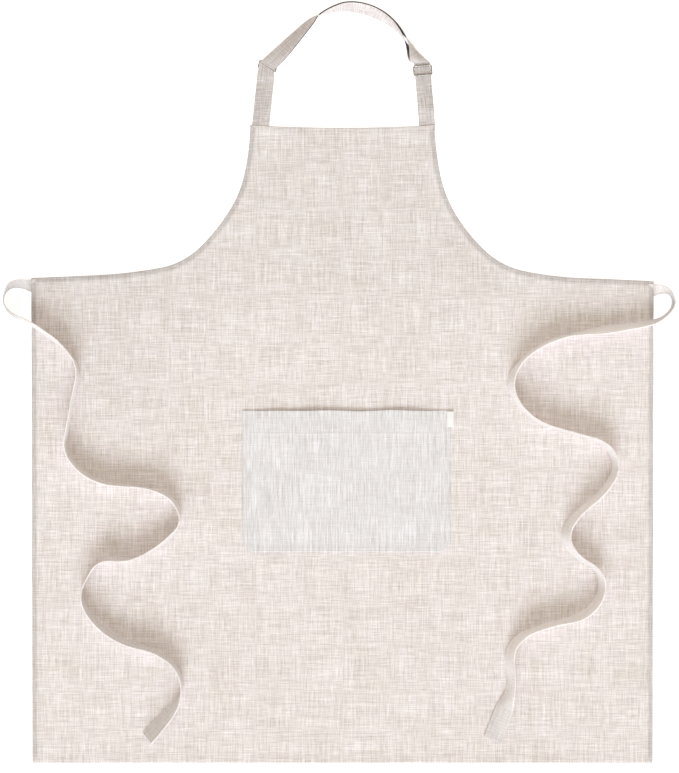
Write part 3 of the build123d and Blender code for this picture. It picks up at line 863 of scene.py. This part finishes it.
def linen_pocket():
    """The pocket as a front and a back that share their rim."""
    fine = (0, 0.15, 0.5, 1.1, 2.0, 2.9, 4.0, 5.1, 6.0, 6.9, 8.2, 10.0)
    xs = ease(72, POCKET_LOW[0], POCKET_HIGH[0], fine)
    ys = ease(48, POCKET_LOW[1], POCKET_HIGH[1], fine)
    ys = np.unique(np.concatenate([ys, HEM_LINE + np.array([-0.8, 0, 0.8, 1.2, 2.0, 2.8]) * mm]))
    middle = (POCKET_LOW[0] + POCKET_HIGH[0]) / 2
    half = POCKET_HIGH[0] - middle
    plan, fronts = [], []
    for y in ys:
        cut = max(0.0, POCKET_CORNER - (y - POCKET_LOW[1]))
        for x in xs:
            px = middle + (x - middle) * (half - cut) / half
            sag = 1.3 * mm * wave(px, 0, 0.045, 8.8) * smooth_step(POCKET_HIGH[1] - y, 0.02, 0.0)
            held = smooth_step(min(px - POCKET_LOW[0], POCKET_HIGH[0] - px), 0, 0.03)
            plan.append((px, y + sag * held))
            fronts.append(pocket_front(px, y))
    plan, fronts = np.array(plan), np.array(fronts)
    rows, cols = len(ys), len(xs)
    border = np.zeros((rows, cols), bool)
    border[[0, -1]] = border[:, [0, -1]] = True
    own = np.array([cloth_top(x, y) for x, y in plan])
    sewn = np.array([pocket_depths(x, y)[0] for x, y in plan])
    back = np.where(sewn < SEWN, own + ON_PANEL, fronts - POCKET_LAYER)
    back = np.minimum(back, fronts - 0.5 * mm)
    down = POCKET_HIGH[1] - plan[:, 1]
    back = np.where((sewn > SEWN) & (down < MOUTH_HEM), fronts - POCKET_HEM, back)
    back = np.maximum(back, own + ON_PANEL)
    fronts = np.where(border.ravel(), (fronts + back) / 2, fronts)
    index = np.arange(rows * cols).reshape(rows, cols)
    behind = index + rows * cols
    behind[border] = index[border]
    faces = []
    for r in range(rows - 1):
        for c in range(cols - 1):
            quad = (index[r, c], index[r, c + 1], index[r + 1, c + 1], index[r + 1, c])
            under = (behind[r, c], behind[r + 1, c], behind[r + 1, c + 1], behind[r, c + 1])
            faces += [quad, under]
    points = np.vstack([np.column_stack([plan, fronts]), np.column_stack([plan, back])])
    keep = np.ones(len(points), bool)
    keep[rows * cols :][border.ravel()] = False
    renumber = np.cumsum(keep) - 1
    faces = [tuple(renumber[i] for i in face) for face in faces]
    uv = np.vstack([plan, plan + 0.61])[keep]
    # Painted shade along the pocket's sewn rim, and a little along its outer row of stitches.
    tone = np.where(sewn < 0.4 * mm, 0.78, 1.0)
    tone = np.where(np.abs(sewn - SEAMS[0]) < 0.5 * mm, 0.96, tone)
    piece = new_piece("linen_pocket", points[keep], faces, pocket_linen, uv, np.tile(tone, 2)[keep])
    facing_out(piece)
    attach(piece, "apron")
    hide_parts("pocket_panel", "pocket_top_hem")


def pocket_rows():
    """Two rows of stitches round the pocket's sewn sides, and one along its mouth's hem."""
    rows = []
    for inset in SEAMS:
        left, right = POCKET_LOW[0] + inset, POCKET_HIGH[0] - inset
        low = POCKET_LOW[1] + inset
        cut = POCKET_CORNER - inset * (2 - 2**0.5)
        path = [(left, POCKET_HIGH[1] - inset / 2), (left, low + cut), (left + cut, low), (right - cut, low),
                (right, low + cut), (right, POCKET_HIGH[1] - inset / 2)]
        for (ax, ay), (bx, by) in zip(path, path[1:]):
            steps = max(2, int(np.hypot(bx - ax, by - ay) / (2 * mm)))
            line = [(ax + (bx - ax) * t, ay + (by - ay) * t) for t in np.linspace(0, 1, steps)]
            rows.append([(x, y, pocket_front(x, y) + 0.08 * mm) for x, y in line])
    stitches("pocket_thread", rows, "pocket_stitching")
    y = HEM_LINE + 2 * mm
    spots = np.arange(left + 3 * mm, right - 3 * mm, 2 * mm)
    line = [(x, y, pocket_front(x, y) + 0.08 * mm) for x in spots]
    stitches("pocket_hem_thread", [line], "pocket_hem_stitching")


linen_pocket()
pocket_rows()


def pocket_label():
    """A short white ribbon folded in two and sewn in at the pocket's upper corner."""
    low, high = (np.array(corner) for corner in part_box("pocket_label"))
    middle_x, deep = (low[0] + high[0]) / 2, high[1] - low[1]
    foot = low[1] + 0.4 * mm
    back, front = [], []
    for t in np.linspace(0, 1, 28):
        bulge = sin(pi * t)
        back.append((foot + deep * (1 - t) * 0.96, low[2] + 0.05 * mm + 0.10 * mm * bulge))
        front.append((foot + deep * t * 0.96, low[2] + 0.3 * mm + 0.32 * mm * bulge**2))
    line = np.array([(middle_x, y, z) for y, z in back + front])
    wide_way = np.tile([1.0, 0, 0], (len(line), 1))
    front_way = np.cross(unit(np.gradient(line, axis=0)), wide_way)
    piece = tape(
        "label_ribbon", line, wide_way, front_way, high[0] - low[0], 0.16 * mm, label_weave, 0.05 * mm
    )
    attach(piece, "label")
    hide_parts("pocket_label")


pocket_label()


# ---- neck tab, ring and strap
STRAP_WIDE = 21.6 * mm
TAB_WIDE = 23.6 * mm
TAB_FOLD_WIDE = 22.6 * mm
STRAP_THICK = 0.7 * mm
RING_LOW, RING_HIGH = (np.array(corner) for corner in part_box("neck_ring"))
RING_CENTRE = (RING_LOW + RING_HIGH) / 2
RING_TURN = radians(-15.6)
RING_LONG = np.array([cos(RING_TURN), sin(RING_TURN), 0])
RING_SHORT = np.array([-sin(RING_TURN), cos(RING_TURN), 0])
RING_BAR = 4.7 * mm  # from the ring's middle to each of its long wires
FOLD_RADIUS = 1.5 * mm
FOLD_TURN = radians(-31)  # both folds in the ring run slantwise across it, along this line
FOLD_LONG = np.array([cos(FOLD_TURN), sin(FOLD_TURN), 0])
FOLD_SHORT = np.array([-sin(FOLD_TURN), cos(FOLD_TURN), 0])
SEAM_Y = 0.350  # the neck loop's seam, up the bib


def across_seam(piece):
    """Bakes the piece's transform into its mesh."""
    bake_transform(piece)


def neck_tab():
    """A tab folded round the ring's lower wire, both its ends sewn in behind the bib."""
    low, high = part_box("left_tab_foot")
    foot = np.array([(low.x + high.x) / 2, low.y + 1.5 * mm, 0])
    fold = RING_CENTRE * (1, 1, 0) - RING_LONG * 0.35 * mm - FOLD_SHORT * 1.9 * mm
    reach = np.linalg.norm(fold - foot)
    spread = np.linspace(0, 1, 44)
    seam_share = (SEAM_Y - foot[1]) / (fold[1] - foot[1])
    stations = []

    def add(share, place, front, high_z):
        turned = smooth_step(share, 0.78, 0.98)
        wide_way = unit(np.array([1.0, 0, 0]) * (1 - turned) + FOLD_LONG * turned)
        wide = TAB_WIDE + (TAB_FOLD_WIDE - TAB_WIDE) * smooth_step(share, 0.85, 1.0)
        stations.append((place + UP * high_z, wide_way, front, wide))

    for t in spread[:-1]:
        rise = 0.34 + 0.24 * smooth_step(t, 0.1, 1.0) + 0.12 * wave(t, 0, 0.2, 4)
        add(t, foot + (fold - foot) * t, -UP, rise * mm)
    for angle in np.radians(np.linspace(-90, 90, 13)):
        out = FOLD_SHORT * cos(angle) + UP * sin(angle)
        add(1.0, fold + out * FOLD_RADIUS, out, RING_CENTRE[2])
    for t in spread[-2::-1]:
        away = (1 - t) * reach
        joined = smooth_step(away, 9 * mm, 23 * mm)
        flat_z = 0.94 + 0.42 * smooth_step(t, seam_share, 0.6) + 0.2 * wave(t, 3, 0.25, 9)
        add(t, foot + (fold - foot) * t, UP, ((1 - joined) * 3.6 + joined * flat_z) * mm)
    centres, wide_way, front_way, wide = (np.array(column) for column in zip(*stations))
    piece = tape("neck_tab_band", centres, wide_way, front_way, wide, 0.6 * mm, strap_linen, 0.1 * mm)
    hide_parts("left_neck_tab", "left_tab_foot")
    across_seam(piece)


neck_tab()

SLIDER_LOW, SLIDER_HIGH = (np.array(corner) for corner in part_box("slider_frame"))
SLIDER = (SLIDER_LOW + SLIDER_HIGH) / 2 * (1, 1, 0)
SEWN_AT = np.array([0.1141, 0.349, 0])  # where the strap passes behind the bib
ALONG = unit(SEWN_AT - SLIDER)
ACROSS = np.cross(UP, ALONG)
STRAIGHT_TURN = np.degrees(np.arctan2(ALONG[1], ALONG[0]))
BAR_Z = 2.25 * mm
RUNNING_Z = 4.85 * mm  # of the strap that runs over the bar
STRAP_FOOT_Z = 0.66 * mm
FLAT_MIDDLE = (BAR_Z + RUNNING_Z) / 2
FLAT_APART = RUNNING_Z - BAR_Z
FLAT_FROM = -10 * mm  # along the strap from the slider's middle


def on_strap(distance, z):
    """The outer edge of the strap's straight part, at a distance from the slider's middle."""
    place = SLIDER + ALONG * distance + ACROSS * (STRAP_WIDE / 2)
    return (place[0] / mm, place[1] / mm, z / mm)


# The strap's outer edge where it turns round the ring's upper wire.
RING_CORNER = RING_CENTRE + RING_SHORT * RING_BAR - RING_LONG * 9.8 * mm
# The arch: outer edge in millimetres, heading, tilt (0 flat, 90 on its outer edge) in degrees,
# and room between its layers.
STATIONS = [
    (tuple(RING_CORNER / mm), 90 + np.degrees(FOLD_TURN), 0, 3.1),
    ((-84.5, 457, 2.1), 43, 27, 2.2), ((-57.5, 481, 1.8), 40, 50, 1.6), ((-44, 491.5, 1.4), 31, 62, 1.6),
    ((-33, 496.5, 1.1), 20, 80, 1.7), ((-17, 501, 1.0), 10, 94, 1.9), ((3.5, 503, 1.1), -3, 110, 2.1),
    ((23.5, 500, 1.2), -13, 118, 2.1), ((44, 493.5, 1.2), -24, 116, 2.1), ((64, 483.5, 1.1), -37, 104, 2.1),
    ((80.5, 469.5, 1.4), -45, 90, 3.2), ((91, 457.5, 2.2), -51, 74, 4.6), ((98, 448.5, 2.9), -55, 56, 4.6),
    (on_strap(FLAT_FROM, FLAT_MIDDLE), STRAIGHT_TURN, 0, FLAT_APART / mm),
]


def arch(layer, count=150):
    """Middle, width and front of one layer of the strap's arch: 1 runs outside, -1 inside."""
    edges = np.array([edge for edge, *_ in STATIONS]) * mm
    knots = run_lengths(edges)
    at = np.linspace(0, knots[-1], count)
    edge = through(knots, edges, at)
    turn, tilt, apart = (through(knots, [station[k] for station in STATIONS], at) for k in (1, 2, 3))
    turn, tilt = np.radians(turn)[:, None], np.radians(tilt)[:, None]
    outward = np.hstack([-np.sin(turn), np.cos(turn), np.zeros_like(turn)])
    wide_way = UP * np.sin(tilt) - outward * np.cos(tilt)
    front_way = UP * np.cos(tilt) + outward * np.sin(tilt)
    middle = edge + wide_way * (STRAP_WIDE / 2) + front_way * (layer * apart[:, None] * mm / 2)
    return middle, wide_way, front_way


def arch_shade(count):
    """Shade of the faces that the arch's two layers turn to each other, along it."""
    share = np.linspace(0, 1, count)
    return 1 - 0.56 * smooth_step(share, 0.03, 0.15) * smooth_step(share, 0.98, 0.9)


def running_strap():
    """The outer layer: from the ring, over the arch and through the slider, to the bib."""
    middle, wide_way, front_way = arch(1)
    foot_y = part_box("right_strap_foot")[0].y + 1.5 * mm
    reach = (SLIDER[1] - foot_y) / -ALONG[1]
    seam_reach = (SLIDER[1] - SEAM_Y) / -ALONG[1]
    distance = np.linspace(FLAT_FROM, reach, 60)[1:, None]
    down = smooth_step(distance, 48 * mm, seam_reach - mm)
    z = RUNNING_Z + (STRAP_FOOT_Z - RUNNING_Z) * down
    straight = SLIDER + ALONG * distance + UP * z
    centres = np.vstack([middle, straight])
    wide_way = np.vstack([wide_way, np.tile(-ACROSS, (len(straight), 1))])
    front_way = np.vstack([front_way, np.tile(UP, (len(straight), 1))])
    facing = np.concatenate([arch_shade(len(middle)), np.ones(len(straight))])
    piece = tape(
        "neck_strap_band", centres, wide_way, front_way, STRAP_WIDE, STRAP_THICK, strap_linen,
        back_tone=facing,
    )
    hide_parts("neck_strap", "right_strap_foot")
    across_seam(piece)


def return_strap():
    """The inner layer: round the ring's upper wire, back along the arch to the slider's bar."""
    middle, wide_way, front_way = arch(-1)
    fold = RING_CORNER + FOLD_LONG * STRAP_WIDE / 2
    angle = np.radians(np.linspace(90, -90, 13)[:-1, None])
    turn_front = -FOLD_SHORT * np.cos(angle) + UP * np.sin(angle)
    turn = fold + turn_front * (FOLD_RADIUS + 0.05 * mm)
    angle = np.radians(np.linspace(-110, 110, 15)[:, None])
    bar_front = ALONG * np.cos(angle) + UP * np.sin(angle)
    # under the bar to it, and back over it: millimetres along the strap, and height
    under = [(-9.0, 2.2), (-8.0, 2.05), (-7.0, 1.94), (-5.0, 1.9), (-3.0, 1.75), (-1.5, 1.3)]
    over = [(-1.5, 3.3), (-3.0, 2.85), (-4.2, 2.7), (-5.6, 2.66)]
    under, over = ([SLIDER + ALONG * d * mm + UP * z * mm for d, z in spots] for spots in (under, over))
    loop = np.vstack([under, SLIDER + UP * BAR_Z + bar_front * FOLD_RADIUS, over])
    loop_front = np.vstack([np.tile(-UP, (len(under), 1)), bar_front, np.tile(UP, (len(over), 1))])
    centres = np.vstack([turn, middle, loop])
    wide_way = np.vstack([np.tile(FOLD_LONG, (len(turn), 1)), wide_way, np.tile(-ACROSS, (len(loop), 1))])
    front_way = np.vstack([turn_front, -front_way, loop_front])
    to_end = run_lengths(centres)[-1] - run_lengths(centres)
    wide = STRAP_WIDE - 1.2 * mm * smooth_step(to_end, 45 * mm, 20 * mm)
    facing = np.concatenate([np.ones(len(turn)), arch_shade(len(middle)), np.ones(len(loop))])
    piece = tape(
        "return_strap_band", centres, wide_way, front_way, wide, STRAP_THICK * 0.9, strap_linen,
        back_tone=facing,
    )
    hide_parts("neck_strap_return", "strap_end_loop")
    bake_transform(piece)


running_strap()
return_strap()

for name in ("neck_ring", "slider_frame", "slider_bar"):
    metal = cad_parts[name].data
    metal.materials.clear()
    metal.materials.append(dark_nickel)

add_light()
add_floor()

bpy.context.scene.view_settings.view_transform = "Standard"
